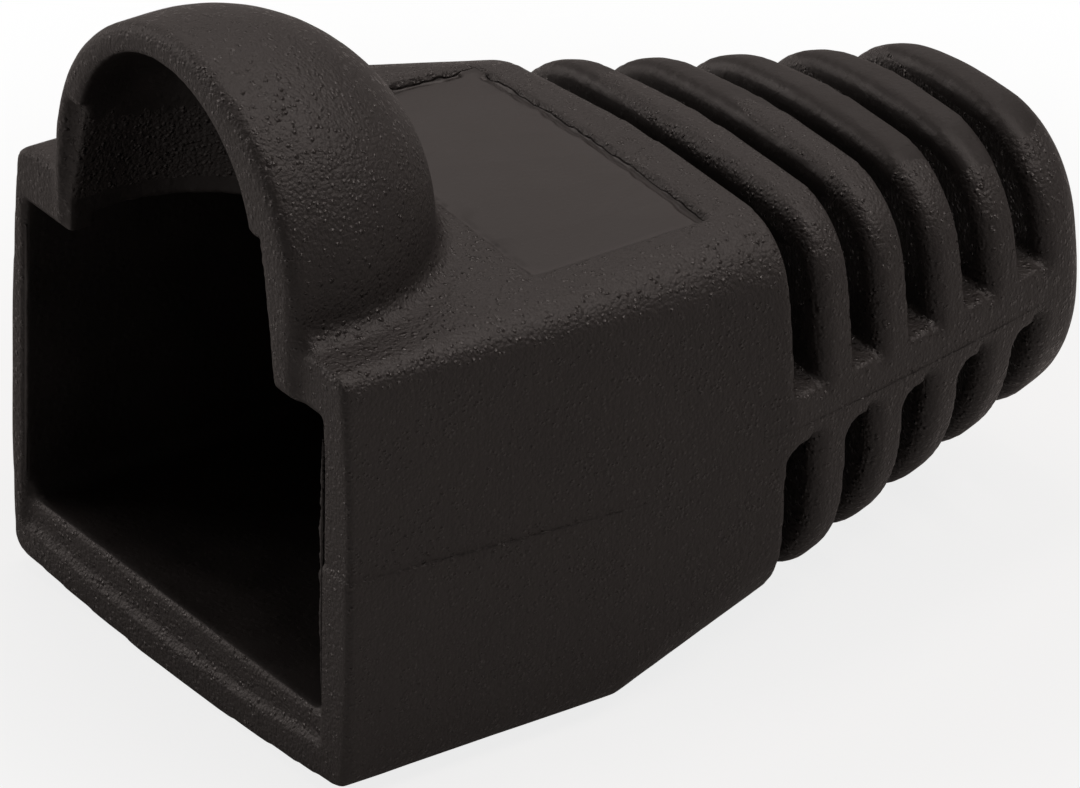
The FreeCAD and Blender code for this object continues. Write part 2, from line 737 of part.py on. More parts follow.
# a shallow rebate down the inside of the hood's legs
rebate = cross_section("leg_rebate_section", "-dimensions.hood_proud", named("hollow_shift"))
REBATE_TOP_HALF_WIDTH = f"({HOLLOW_RADIUS} + dimensions.leg_rebate_width)"
REBATE_FOOT_HALF_WIDTH = f"({HOLLOW_FOOT} + dimensions.leg_rebate_width)"
narrow = size(REBATE_TOP_HALF_WIDTH)
wide = size(REBATE_FOOT_HALF_WIDTH)
rebate_top = size("dimensions.leg_rebate_height")
outline(
    rebate,
    [
        line((-wide, foot), (wide, foot)),
        line((wide, foot), (narrow, rebate_top)),
        line((narrow, rebate_top), (-narrow, rebate_top)),
        line((-narrow, rebate_top), (-wide, foot)),
    ],
)
level(rebate, 0, 2)
coordinate(rebate, 0, 1, "x", f"-{REBATE_FOOT_HALF_WIDTH}")
coordinate(rebate, 0, 1, "y", "dimensions.ceiling_height")
coordinate(rebate, 0, 2, "x", REBATE_FOOT_HALF_WIDTH)
coordinate(rebate, 2, 1, "x", REBATE_TOP_HALF_WIDTH)
coordinate(rebate, 2, 1, "y", "dimensions.leg_rebate_height")
coordinate(rebate, 2, 2, "x", f"-{REBATE_TOP_HALF_WIDTH}")
extrusion("PartDesign::Pocket", "leg_rebate", rebate, "dimensions.leg_rebate_depth")


# ---------------------------------------------------------------- the label panel
def between(first, second, quantity, position):
    """Expression for an outer size part of the way from one named place to the next."""
    start = POSITIONS[first]
    share = f"(({position} - {start}) / ({POSITIONS[second]} - {start}))"
    low = outer_size(first, quantity)
    high = outer_size(second, quantity)
    return f"({low} + ({high} - {low}) * {share})"


def panel_section(name, position, first, second):
    """What the panel takes out of the roof at one place, down to the roof's own curve."""
    roof = between(first, second, "roof_height", position)
    width = between(first, second, "width", position)
    radius = arch_radius(width, between(first, second, "roof_crown", position))
    crest = between(first, second, "crest", position)
    low = size("dimensions.panel_shift - dimensions.panel_width / 2")
    high = size("dimensions.panel_shift + dimensions.panel_width / 2")
    top = size(f"{roof} + dimensions.panel_depth")
    curve = size(f"{radius} - dimensions.panel_depth")
    centre = (size(crest), size(f"{roof} - {radius}"))
    left_edge, right_edge = (
        (x, centre[1] + math.sqrt(curve**2 - (x - centre[0]) ** 2)) for x in (low, high)
    )

    sketch = cross_section(name, position)
    outline(
        sketch,
        [
            arc(centre, curve, direction(centre, right_edge), direction(centre, left_edge)),
            line(left_edge, (low, top)),
            line((low, top), (high, top)),
            line((high, top), right_edge),
        ],
    )
    level(sketch, 2)
    upright(sketch, 1, 3)
    coordinate(sketch, 0, 3, "x", crest)
    coordinate(sketch, 0, 3, "y", f"{roof} - {radius}")
    bind(sketch, Sketcher.Constraint("Radius", 0, curve), f"{radius} - dimensions.panel_depth")
    coordinate(sketch, 2, 1, "x", "dimensions.panel_shift - dimensions.panel_width / 2")
    coordinate(sketch, 2, 2, "x", "dimensions.panel_shift + dimensions.panel_width / 2")
    coordinate(sketch, 2, 1, "y", f"{roof} + dimensions.panel_depth")
    return sketch


loft(
    "PartDesign::SubtractiveLoft",
    "label_panel",
    [
        panel_section("panel_front", PANEL_FRONT, "mouth", "knee"),
        panel_section("panel_back", PANEL_BACK, "knee", "back"),
    ],
)

# the boot stands on its underside, centred over its own length
body.setExpression(
    "Placement.Base.y", "(dimensions.hood_proud - dimensions.overall_length) / 2"
)
body.setExpression("Placement.Base.z", "dimensions.mouth_floor_depth")
doc.recompute()

for item in doc.Objects:
    if "Invalid" in item.State or "Error" in item.State:
        raise RuntimeError(f"{item.Label} is {item.State}")
if body.Shape.isNull() or not body.Shape.isValid() or len(body.Shape.Solids) != 1:
    raise RuntimeError(f"{body.Label} has no sound solid")

os.makedirs("parts", exist_ok=True)
body.Shape.exportStep(f"parts/{body.Label}.step")
print(body.Label, round(body.Shape.Volume, 2), "cubic millimetres")
print("   ", body.Shape.optimalBoundingBox())
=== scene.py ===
import math

import bpy
import numpy as np
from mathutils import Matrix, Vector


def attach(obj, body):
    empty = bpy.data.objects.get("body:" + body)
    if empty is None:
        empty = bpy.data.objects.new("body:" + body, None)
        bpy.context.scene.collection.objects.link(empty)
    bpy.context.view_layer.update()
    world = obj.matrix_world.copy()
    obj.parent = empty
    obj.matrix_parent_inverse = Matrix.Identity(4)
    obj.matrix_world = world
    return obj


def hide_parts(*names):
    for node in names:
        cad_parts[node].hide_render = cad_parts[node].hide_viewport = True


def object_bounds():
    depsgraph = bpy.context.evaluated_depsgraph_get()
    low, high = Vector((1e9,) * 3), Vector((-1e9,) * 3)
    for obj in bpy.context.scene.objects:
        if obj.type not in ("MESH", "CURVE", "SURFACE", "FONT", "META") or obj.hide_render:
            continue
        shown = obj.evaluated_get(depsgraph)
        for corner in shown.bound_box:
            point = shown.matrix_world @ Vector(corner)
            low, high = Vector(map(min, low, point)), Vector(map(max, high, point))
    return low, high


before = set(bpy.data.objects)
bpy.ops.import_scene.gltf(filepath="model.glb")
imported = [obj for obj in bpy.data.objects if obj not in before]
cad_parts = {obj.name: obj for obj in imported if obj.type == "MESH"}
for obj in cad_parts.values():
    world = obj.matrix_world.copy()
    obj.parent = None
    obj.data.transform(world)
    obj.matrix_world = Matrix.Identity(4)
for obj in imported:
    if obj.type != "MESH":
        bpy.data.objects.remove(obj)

import openvdb
from mathutils import Matrix, Vector, noise
from mathutils.bvhtree import BVHTree

# The moulding's shape comes from its CAD solid, worked on as a volume. Sizes here are in
# millimetres, and Blender's objects are in metres.
MM = 0.001
NODE = "strain_relief_boot"
cad_low, cad_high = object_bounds()

# ---------------------------------------------------------------- sizes
# The first two are in the CAD frame. The others, and "behind" and "height" in the code, are measured
# from the mouth's plane towards the cable end, and from the cable axis upwards.
MOUTH = -11.0  # the mouth's plane
AXIS_HEIGHT = 5.66  # the cable axis
BOX_LENGTH = 12.17
SLOT_PITCH = 1.89
SLOT_WIDTH = 0.83
LOWER_SLOT_LEAD = 0.22  # the lower slots stand that much nearer the mouth
PANEL_LEFT, PANEL_RIGHT = -4.4, 4.9
PANEL_FRONT, PANEL_BACK = 6.3, 10.97
HOOD_RADIUS = 4.97
HOOD_CENTRE_BEHIND_MOUTH = 1.0
HOOD_CENTRE_HEIGHT = 5.87
CORE_SHIFT = -0.28
CORE_HALF_WIDTH = 6.01
CAVITY_DEPTH = 9.2
CAVITY_FLOOR = -3.8

VOXEL = 0.07
BAND = 12  # voxels kept each side of the surface
MARGIN = 4  # voxels kept round the CAD box
MOST_TRIANGLES = 190000


# ---------------------------------------------------------------- volumes
def node_surface(name):
    """A CAD node's points, in millimetres, and its triangles."""
    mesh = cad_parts[name].data
    points = np.empty(len(mesh.vertices) * 3, np.float32)
    mesh.vertices.foreach_get("co", points)
    mesh.calc_loop_triangles()
    triangles = np.empty(len(mesh.loop_triangles) * 3, np.int32)
    mesh.loop_triangles.foreach_get("vertices", triangles)
    return points.reshape(-1, 3) / MM, triangles.reshape(-1, 3).astype(np.uint32), None


def volume(points, triangles, quads):
    """A level set of the closed surface: distances in millimetres, negative inside."""
    return openvdb.FloatGrid.createLevelSetFromPolygons(
        np.ascontiguousarray(points, dtype=np.float32),
        triangles=triangles,
        quads=quads,
        transform=openvdb.createLinearTransform(VOXEL),
        exBandWidth=float(BAND),
        inBandWidth=float(BAND),
    )


def surface(grid, offset):
    """The surface that lies offset millimetres outside the volume's own."""
    points, triangles, quads = grid.convertToPolygons(offset, 0)
    return points, triangles if len(triangles) else None, quads if len(quads) else None


def grown(grid, distance):
    """The volume grown by that distance, or worn back where it is negative."""
    return volume(*surface(grid, distance))


def rounded_outside(grid, radius):
    """The volume with that radius on its outward edges: worn back by it, then grown again."""
    return grown(grown(grid, -radius), radius)


def filled_inside(grid, radius):
    """The volume with that radius in its inward corners: grown by it, then worn back again."""
    return grown(grown(grid, radius), -radius)


class Field:
    """A level set as an array of distances, with the place of each value."""

    def __init__(self, low, high):
        self.low = np.floor(np.array(low) / VOXEL).astype(int) - MARGIN
        self.high = np.ceil(np.array(high) / VOXEL).astype(int) + MARGIN
        self.shape = tuple(int(count) for count in self.high - self.low + 1)
        axes = [(np.arange(count) + start) * VOXEL for count, start in zip(self.shape, self.low)]
        self.across = axes[0][:, None, None].astype(np.float32)
        self.behind_mouth = axes[1][None, :, None].astype(np.float32) - MOUTH
        self.height = axes[2][None, None, :].astype(np.float32) - AXIS_HEIGHT

    def read(self, grid):
        """A volume's distances over this field's places."""
        values = np.empty(self.shape, np.float32)
        grid.copyToArray(values, ijk=tuple(int(i) for i in self.low))
        return values

    def write(self, values):
        """A volume from an array of distances."""
        grid = openvdb.FloatGrid(VOXEL * BAND)
        grid.transform = openvdb.createLinearTransform(VOXEL)
        grid.copyFromArray(np.ascontiguousarray(values), ijk=tuple(int(i) for i in self.low))
        return grid


def step(value, start, finish):
    """0 before start, 1 after finish, and smooth between them."""
    share = np.clip((value - start) / (finish - start), 0, 1)
    return share * share * (3 - 2 * share)


def band(value, start, finish, fade):
    """1 between start and finish, and 0 a fade outside them."""
    return step(value, start - fade, start) * (1 - step(value, finish, finish + fade))


# ---------------------------------------------------------------- the moulding's form
EDGE_ROUNDING = 0.1
RIB_ROUNDING = 0.36
RIB_CREST_START, RIB_CREST_END = 1.25, 1.5  # into a pitch, where a rib's front half gives way to its rear
FILLING = 0.42  # radius in the inward corners
MISMATCH = 0.05  # the mould's upper half stands back by this at the mouth
MISMATCH_SIDE = 5  # it shows only on the right side, further out than this
PANEL_TRENCH = 0.1  # extra depth along the panel's edge, where its insert met the mould


def rib_rounding_share(field):
    """Where the ribs are well rounded: all their front edges, and on the left their rear edges too."""
    lead = LOWER_SLOT_LEAD * (field.height < 0.5)
    row = (field.behind_mouth - BOX_LENGTH + lead) / SLOT_PITCH
    into_pitch = (row - np.floor(row)) * SLOT_PITCH
    crest_passed = step(into_pitch, RIB_CREST_START, RIB_CREST_END)
    front = step(into_pitch, SLOT_WIDTH - 0.15, SLOT_WIDTH - 0.05) * (1 - crest_passed)
    left = 1 - step(field.across, -4.0, 0.5)
    rear = crest_passed * left * (field.height > 0.5)
    on_ribs = step(field.behind_mouth, BOX_LENGTH, BOX_LENGTH + 0.1)
    box_edge = band(field.behind_mouth, BOX_LENGTH - 0.5, BOX_LENGTH + 0.05, 0.15) * left
    return np.clip((front + rear) * on_ribs + box_edge * (field.height > 3), 0, 1)


def hood_foot_share(field):
    """Where the hood runs out into the roof."""
    behind = np.maximum(field.behind_mouth - HOOD_CENTRE_BEHIND_MOUTH, 0)
    above = np.maximum(field.height - HOOD_CENTRE_HEIGHT, 0)
    outside = np.sqrt(field.across**2 + behind**2 + above**2) - HOOD_RADIUS
    return band(outside, -0.2, 0.6, 0.15) * band(field.height, 4.7, 6.3, 0.2)


def cavity_corner_share(field):
    """The cavity's two long lower corners."""
    aside = np.abs(field.across - CORE_SHIFT)
    return (
        band(aside, CORE_HALF_WIDTH - 0.6, CORE_HALF_WIDTH + 0.1, 0.1)
        * band(field.height, CAVITY_FLOOR - 0.1, CAVITY_FLOOR + 0.7, 0.15)
        * band(field.behind_mouth, 0.2, CAVITY_DEPTH, 0.1)
    )


def wobble(place, *waves):
    """A sum of sines: each wave is its size, its length and where it starts."""
    return sum(size * np.sin(2 * np.pi * place / length + start) for size, length, start in waves)


def relief(field):
    """How far the skin stands in from the plain form, in millimetres."""
    across, behind, height = field.across, field.behind_mouth, field.height
    above = step(height, 4.0, 4.3)
    # the panel's insert left a ragged trench along its back and left edges, and a faint one in front
    back_line = PANEL_BACK - 0.05 + wobble(across, (0.014, 2.3, 0), (0.012, 0.91, 1), (0.01, 0.53, 2))
    width = 0.035 + 0.02 * step(across, 0, 4.5) + wobble(across, (0.02, 1.7, 4), (0.012, 0.61, 3))
    back_trench = 1 - step(np.abs(behind - back_line), width, width + 0.09)
    back_trench = back_trench * band(across, PANEL_LEFT + 0.5, PANEL_RIGHT - 0.1, 0.1)
    left_line = PANEL_LEFT + 0.05 + wobble(behind, (0.02, 1.4, 1), (0.015, 0.45, 0))
    left_trench = (1 - step(np.abs(across - left_line), 0.04, 0.12)) * band(
        behind, PANEL_FRONT, PANEL_BACK - 0.5, 0.1
    )
    front_line = PANEL_FRONT + 0.03 + wobble(across, (0.02, 1.1, 2), (0.015, 0.4, 1))
    front_trench = 0.5 * (1 - step(np.abs(behind - front_line), 0.02, 0.1)) * band(
        across, PANEL_LEFT, PANEL_RIGHT - 0.6, 0.3
    )
    panel = PANEL_TRENCH * above * (back_trench + left_trench + front_trench)
    # the two halves of the mould didn't quite meet
    upper = step(height, 0.08 - 0.04 * behind, 0.16 - 0.04 * behind)
    mismatch = MISMATCH * upper * (1 - step(behind, 1.0, 7.5)) * (1 - step(height, 2.5, 4.5))
    return panel + mismatch * (across > MISMATCH_SIDE)


def moulding():
    """The CAD solid with soft edges, filled corners and the marks that the mould left."""
    sharp = volume(*node_surface(NODE))
    field = Field(*[np.array(corner) / MM for corner in (cad_low, cad_high)])
    soft = rounded_outside(sharp, EDGE_ROUNDING)
    values = field.read(soft)
    round_values = field.read(rounded_outside(sharp, RIB_ROUNDING))
    filled_values = field.read(filled_inside(soft, FILLING))
    values += (round_values - values) * rib_rounding_share(field)
    values += (filled_values - values) * np.maximum(hood_foot_share(field), cavity_corner_share(field))
    values += relief(field)
    return field.write(values)


def mesh_from(grid, name):
    """A mesh of the volume's surface, thinned out where it is flat."""
    points, triangles, quads = grid.convertToPolygons(0, 0)
    corners = np.concatenate([quads.ravel(), triangles.ravel()]).astype(np.int32)
    counts = np.concatenate([np.full(len(quads), 4), np.full(len(triangles), 3)])
    starts = np.concatenate([[0], np.cumsum(counts)[:-1]]).astype(np.int32)
    mesh = bpy.data.meshes.new(name)
    mesh.vertices.add(len(points))
    mesh.vertices.foreach_set("co", (points * MM).astype(np.float32).ravel())
    mesh.loops.add(len(corners))
    mesh.loops.foreach_set("vertex_index", corners)
    mesh.polygons.add(len(counts))
    mesh.polygons.foreach_set("loop_start", starts)
    mesh.update(calc_edges=True)
    mesh.validate()
    piece = bpy.data.objects.new(name, mesh)
    bpy.context.scene.collection.objects.link(piece)
    thinning = piece.modifiers.new("thinning", "DECIMATE")
    thinning.ratio = min(1, MOST_TRIANGLES / (2 * len(quads) + len(triangles)))
    depsgraph = bpy.context.evaluated_depsgraph_get()
    piece.data = bpy.data.meshes.new_from_object(piece.evaluated_get(depsgraph))
    piece.modifiers.clear()
    bpy.data.meshes.remove(mesh)
    piece.data.name = name
    return piece


BROAD_SWELL, BROAD_SWELLS_PER_MM = 0.012, 0.45
FINE_SWELL, FINE_SWELLS_PER_MM = 0.006, 1.7
FINE_SWELL_START = Vector((7, 3, 1))
SHRINKAGE = 0.014  # keeps the highest swell inside the CAD solid's skin, or close to it


def waviness(piece):
    """The slight unevenness of a soft moulding that shrank as it cooled."""
    mesh = piece.data
    places = np.empty(len(mesh.vertices) * 3, np.float32)
    normals = np.empty(len(mesh.vertices) * 3, np.float32)
    mesh.vertices.foreach_get("co", places)
    mesh.vertex_normals.foreach_get("vector", normals)
    places = places.reshape(-1, 3)
    swells = np.empty((len(places), 1), np.float32)
    for index, place in enumerate(places / MM):
        broad = noise.noise(Vector(place) * BROAD_SWELLS_PER_MM) * BROAD_SWELL
        fine_place = Vector(place) * FINE_SWELLS_PER_MM + FINE_SWELL_START
        swells[index] = broad + noise.noise(fine_place) * FINE_SWELL
    places -= normals.reshape(-1, 3) * (swells + SHRINKAGE) * MM
    mesh.vertices.foreach_set("co", places.ravel())
    mesh.update()


boot = mesh_from(moulding(), "boot_moulding")
waviness(boot)


# ---------------------------------------------------------------- flash
FLASH_ROOT = 0.06  # how far a ridge of flash starts under the skin
LEAST_FLASH = 0.004  # lowest height of a ridge over the skin
OUTSIDE = 12  # far enough across to be outside the moulding
# where each stretch of parting flash starts and ends behind the mouth, its width and its height
PARTING_STRETCHES = ((0.3, 8.2, 0.05, 0.028), (11.3, 21.9, 0.05, 0.02))
PARTING_STEP = 0.06  # between one place along the line and the next
# the side, the lowest and highest level, and the height of each ridge of flash inside the mouth
MOUTH_STRETCHES = ((1, -3.3, 3.3, 0.13), (-1, -3.2, 3.2, 0.09))
MOUTH_FLASH_STEPS = 110
MOUTH_FLASH_WIDTH = 0.09
MOUTH_FLASH_PLACE = 0.1  # behind the mouth's plane


def row_point(across, behind, height):
    """A place in the CAD frame, in metres, from one given about the cable axis at the mouth."""
    return Vector((across, behind + MOUTH, height + AXIS_HEIGHT)) * MM


def skin_of(piece):
    """The moulding's surface, for laying flash on it."""
    return BVHTree.FromPolygons(
        [vertex.co for vertex in piece.data.vertices],
        [polygon.vertices for polygon in piece.data.polygons],
    )


def seen_from_side(skin, behind, height, side):
    """The place on the skin, and its normal, that lie straight in from the right (1) or the left (-1)."""
    start = row_point(side * OUTSIDE, behind, height)
    return skin.ray_cast(start, Vector((-side, 0, 0)))[:2]


def ridge(name, stations, width, height, seed):
    """A thin closed ridge of flash, ragged in height, along places on the skin and their normals."""
    points = []
    faces = []
    count = len(stations)
    for index, (place, normal) in enumerate(stations):
        ahead = stations[min(index + 1, count - 1)][0] - stations[max(index - 1, 0)][0]
        aside = normal.cross(ahead).normalized() * width / 2 * MM
        taper = min(1, 4 * index / count, 4 * (count - 1 - index) / count)
        rough = 0.65 + 0.5 * noise.noise(place / MM * 2.3 + Vector((seed, 0, 0)))
        rough += 0.35 * noise.noise(place / MM * 9 + Vector((0, seed, 0)))
        points.append(place - aside - normal * FLASH_ROOT * MM)
        points.append(place + normal * max(LEAST_FLASH, height * taper * rough) * MM)
        points.append(place + aside - normal * FLASH_ROOT * MM)
    for index in range(count - 1):
        for side in range(3):
            low = 3 * index + side
            high = 3 * index + (side + 1) % 3
            faces.append((low, high, high + 3, low + 3))
    faces.append((2, 1, 0))
    faces.append((3 * count - 3, 3 * count - 2, 3 * count - 1))
    mesh = bpy.data.meshes.new(name)
    mesh.from_pydata(points, [], faces)
    piece = bpy.data.objects.new(name, mesh)
    bpy.context.scene.collection.objects.link(piece)
    return piece


def parting_height(behind):
    """Height of the mould's parting line over the cable axis, along the box and along the tail."""
    if behind < 10:
        return 0.14 - 0.04 * behind
    return 0.42 - 0.045 * (behind - 11.7)


def parting_flash(skin):
    """Flash where the mould's two halves met, along both sides."""
    pieces = []
    for side in (-1, 1):
        for first, last, width, height in PARTING_STRETCHES:
            count = int((last - first) / PARTING_STEP)
            stations = []
            for index in range(count + 1):
                behind = first + (last - first) * index / count
                stations.append(seen_from_side(skin, behind, parting_height(behind), side))
            pieces.append(ridge("parting_flash", stations, width, height, 3 * side + first))
    return pieces


def mouth_flash():
    """Ragged flash where the core met the mould, down the inside of the mouth's two walls."""
    pieces = []
    for side, low, high, height in MOUTH_STRETCHES:
        stations = []
        for index in range(MOUTH_FLASH_STEPS + 1):
            level = low + (high - low) * index / MOUTH_FLASH_STEPS
            place = row_point(CORE_SHIFT + side * CORE_HALF_WIDTH, MOUTH_FLASH_PLACE, level)
            stations.append((place, Vector((-side, 0, 0))))
        pieces.append(ridge("mouth_flash", stations, MOUTH_FLASH_WIDTH, height, 11 + side))
    return pieces


def join(target, others):
    """Makes the others part of the target's mesh."""
    bpy.ops.object.select_all(action="DESELECT")
    for piece in [target] + others:
        piece.select_set(True)
    bpy.context.view_layer.objects.active = target
    bpy.ops.object.join()


join(boot, parting_flash(skin_of(boot)) + mouth_flash())
for polygon in boot.data.polygons:
    polygon.use_smooth = True
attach(boot, "root")
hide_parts(NODE)


# ---------------------------------------------------------------- finish
# colours of the vinyl, linear
SKIN_DARK, SKIN_PALE = (0.0105, 0.0085, 0.0080, 1), (0.0150, 0.0128, 0.0118, 1)
# painted shade: the core's colours are the skin's made darker, for the cavity, the hood's hollow and the
# bore
CORE_SHADED_DARK, CORE_SHADED_PALE = (0.0080, 0.0065, 0.0060, 1), (0.0120, 0.0100, 0.0092, 1)
SCUFF = (0.024, 0.0215, 0.020, 1)
DUST = (0.09, 0.085, 0.08, 1)
# the grain's depth in millimetres, its grains to the millimetre and its coarseness
SKIN_GRAIN_DEPTH, SKIN_GRAINS, SKIN_COARSENESS = 0.021, 10.0, 0.8
CORE_GRAIN_DEPTH, CORE_GRAINS, CORE_COARSENESS = 0.006, 7.0, 0.25
# the noise values at which either finish is darkest and palest
TONE_LOW, TONE_HIGH = 0.3, 0.75
ROUGHNESS = 0.5
PANEL_LEVELS = (4.3, 6.0)  # heights between which the panel's finish lies
PANEL_FADE = 0.05


class Nodes:
    """Short ways to add shader nodes to a tree and join them."""

    def __init__(self, tree):
        self.tree = tree

    def add(self, kind, **settings):
        node = self.tree.nodes.new(kind)
        for name, value in settings.items():
            setattr(node, name, value)
        return node

    def put(self, value, socket):
        if isinstance(value, bpy.types.NodeSocket):
            self.tree.links.new(value, socket)
        else:
            socket.default_value = value

    def math(self, operation, first, second=0.0, third=0.0):
        node = self.add("ShaderNodeMath", operation=operation)
        for value, socket in zip((first, second, third), node.inputs):
            self.put(value, socket)
        return node.outputs[0]

    def between(self, value, start, finish, low=0.0, high=1.0):
        """value's place between start and finish, as a smooth share from low to high."""
        node = self.add("ShaderNodeMapRange", interpolation_type="SMOOTHSTEP")
        for given, socket in zip((value, start, finish, low, high), node.inputs):
            self.put(given, socket)
        return node.outputs["Result"]

    def noise(self, place, scale, detail=2.0, roughness=0.5):
        node = self.add("ShaderNodeTexNoise", noise_dimensions="3D")
        self.put(place, node.inputs["Vector"])
        self.put(scale, node.inputs["Scale"])
        self.put(detail, node.inputs["Detail"])
        self.put(roughness, node.inputs["Roughness"])
        return node.outputs["Fac"]

    def cells(self, place, scale):
        node = self.add("ShaderNodeTexVoronoi", voronoi_dimensions="3D", feature="F1")
        self.put(place, node.inputs["Vector"])
        self.put(scale, node.inputs["Scale"])
        return node

    def stretched(self, place, scale):
        node = self.add("ShaderNodeVectorMath", operation="MULTIPLY")
        self.put(place, node.inputs[0])
        self.put(scale, node.inputs[1])
        return node.outputs[0]

    def colour(self, share, first, second):
        node = self.add("ShaderNodeMix", data_type="RGBA")
        self.put(share, node.inputs["Factor"])
        self.put(first, node.inputs["A"])
        self.put(second, node.inputs["B"])
        return node.outputs["Result"]


def group_sockets(tree, inputs, outputs):
    """Gives a node group its named inputs and outputs."""
    for name, kind, value in inputs:
        socket = tree.interface.new_socket(name, in_out="INPUT", socket_type=kind)
        if value is not None:
            socket.default_value = value
    for name, kind in outputs:
        tree.interface.new_socket(name, in_out="OUTPUT", socket_type=kind)


def spark_grain():
    """The grain of a spark-eroded mould, left on the plastic as tiny domes and pits."""
    tree = bpy.data.node_groups.new("spark_grain", "ShaderNodeTree")
    group_sockets(
        tree,
        [
            ("Place", "NodeSocketVector", None),
            ("Grains per mm", "NodeSocketFloat", 11.0),
            ("Coarseness", "NodeSocketFloat", 0.5),
        ],
        [
            ("Height", "NodeSocketFloat"),
            ("Bright Grains", "NodeSocketFloat"),
            ("Tone", "NodeSocketFloat"),
        ],
    )
    nodes = Nodes(tree)
    given = nodes.add("NodeGroupInput").outputs
    result = nodes.add("NodeGroupOutput")
    domes = nodes.cells(given["Place"], given["Grains per mm"])
    dome_height = nodes.math("SUBTRACT", 1.0, domes.outputs["Distance"])
    fine = nodes.noise(given["Place"], nodes.math("MULTIPLY", given["Grains per mm"], 1.6), 3.0, 0.6)
    broad = nodes.noise(given["Place"], nodes.math("MULTIPLY", given["Grains per mm"], 0.28), 2.0, 0.5)
    split = nodes.add("ShaderNodeSeparateColor")
    nodes.put(domes.outputs["Color"], split.inputs[0])
    chosen = nodes.between(split.outputs[0], 0.7, 0.86)
    middle = nodes.between(domes.outputs["Distance"], 0.72, 0.42)
    steepness = nodes.math("MULTIPLY_ADD", chosen, 1.7, given["Coarseness"])
    height = nodes.math("MULTIPLY_ADD", dome_height, steepness, fine)
    height = nodes.math("MULTIPLY_ADD", broad, 1.2, height)
    nodes.put(height, result.inputs["Height"])
    nodes.put(nodes.math("MULTIPLY", chosen, middle), result.inputs["Bright Grains"])
    nodes.put(nodes.noise(given["Place"], 0.5, 4.0, 0.6), result.inputs["Tone"])
    return tree


SPARK_GRAIN = spark_grain()


def place_in_mm(nodes):
    """The object's own coordinates, in millimetres."""
    coordinates = nodes.add("ShaderNodeTexCoord")
    return nodes.stretched(coordinates.outputs["Object"], (1 / MM, 1 / MM, 1 / MM))


def grain(nodes, place, per_mm, coarseness):
    """The spark grain's outputs, at that size and coarseness."""
    node = nodes.add("ShaderNodeGroup", node_tree=SPARK_GRAIN)
    nodes.put(place, node.inputs["Place"])
    nodes.put(per_mm, node.inputs["Grains per mm"])
    nodes.put(coarseness, node.inputs["Coarseness"])
    return node.outputs


def inside_box(nodes, place, low, high, fade):
    """1 inside a box given in the CAD frame, in millimetres, and 0 outside it."""
    axes = nodes.add("ShaderNodeSeparateXYZ")
    nodes.put(place, axes.inputs[0])
    share = None
    for axis, start, finish in zip(axes.outputs, low, high):
        rise = nodes.between(axis, start - fade, start)
        fall = nodes.between(axis, finish, finish + fade, 1.0, 0.0)
        both = nodes.math("MULTIPLY", rise, fall)
        share = both if share is None else nodes.math("MULTIPLY", share, both)
    return share


def skin_vinyl():
    """Soft black vinyl as the mould's spark-eroded outside leaves it, with a smoother label panel."""
    material = bpy.data.materials.new("skin_vinyl")
    material.use_nodes = True
    nodes = Nodes(material.node_tree)
    shader = material.node_tree.nodes["Principled BSDF"]
    place = place_in_mm(nodes)
    look = grain(nodes, place, SKIN_GRAINS, SKIN_COARSENESS)
    panel = inside_box(
        nodes,
        place,
        (PANEL_LEFT, PANEL_FRONT + MOUTH, AXIS_HEIGHT + PANEL_LEVELS[0]),
        (PANEL_RIGHT, PANEL_BACK + MOUTH, AXIS_HEIGHT + PANEL_LEVELS[1]),
        PANEL_FADE,
    )
    off_panel = nodes.math("SUBTRACT", 1.0, panel)
    draw = nodes.noise(nodes.stretched(place, (14.0, 14.0, 1.6)), 1.0, 3.0, 0.6)
    tone = nodes.between(look["Tone"], TONE_LOW, TONE_HIGH)
    body = nodes.colour(tone, SKIN_DARK, SKIN_PALE)
    scuffed = nodes.between(nodes.noise(place, 2.1, 5.0, 0.65), 0.56, 0.8, 0.0, 0.35)
    body = nodes.colour(scuffed, body, SCUFF)
    specks = nodes.cells(place, 3.4)
    speck_split = nodes.add("ShaderNodeSeparateColor")
    nodes.put(specks.outputs["Color"], speck_split.inputs[0])
    dust = nodes.math(
        "MULTIPLY",
        nodes.between(speck_split.outputs[1], 0.86, 0.9),
        nodes.between(specks.outputs["Distance"], 0.14, 0.07),
    )
    dusty = nodes.math("MULTIPLY", dust, nodes.math("MULTIPLY", off_panel, 0.35))
    body = nodes.colour(dusty, body, DUST)
    nodes.put(body, shader.inputs["Base Color"])
    glossy = nodes.math("MULTIPLY", look["Bright Grains"], off_panel)
    roughness = nodes.math("MULTIPLY_ADD", glossy, -0.27, ROUGHNESS)
    roughness = nodes.math("MULTIPLY_ADD", tone, 0.06, roughness)
    nodes.put(nodes.math("MULTIPLY_ADD", panel, -0.04, roughness), shader.inputs["Roughness"])
    height = nodes.math("MULTIPLY_ADD", draw, 0.6, look["Height"])
    smoother = nodes.between(panel, 0.0, 1.0, 1.0, 0.06)
    bump = nodes.add("ShaderNodeBump")
    bump.inputs["Strength"].default_value = 1.0
    bump.inputs["Distance"].default_value = SKIN_GRAIN_DEPTH * MM
    nodes.put(nodes.math("MULTIPLY", height, smoother), bump.inputs["Height"])
    nodes.put(bump.outputs["Normal"], shader.inputs["Normal"])
    shader.inputs["Specular IOR Level"].default_value = 0.45
    return material


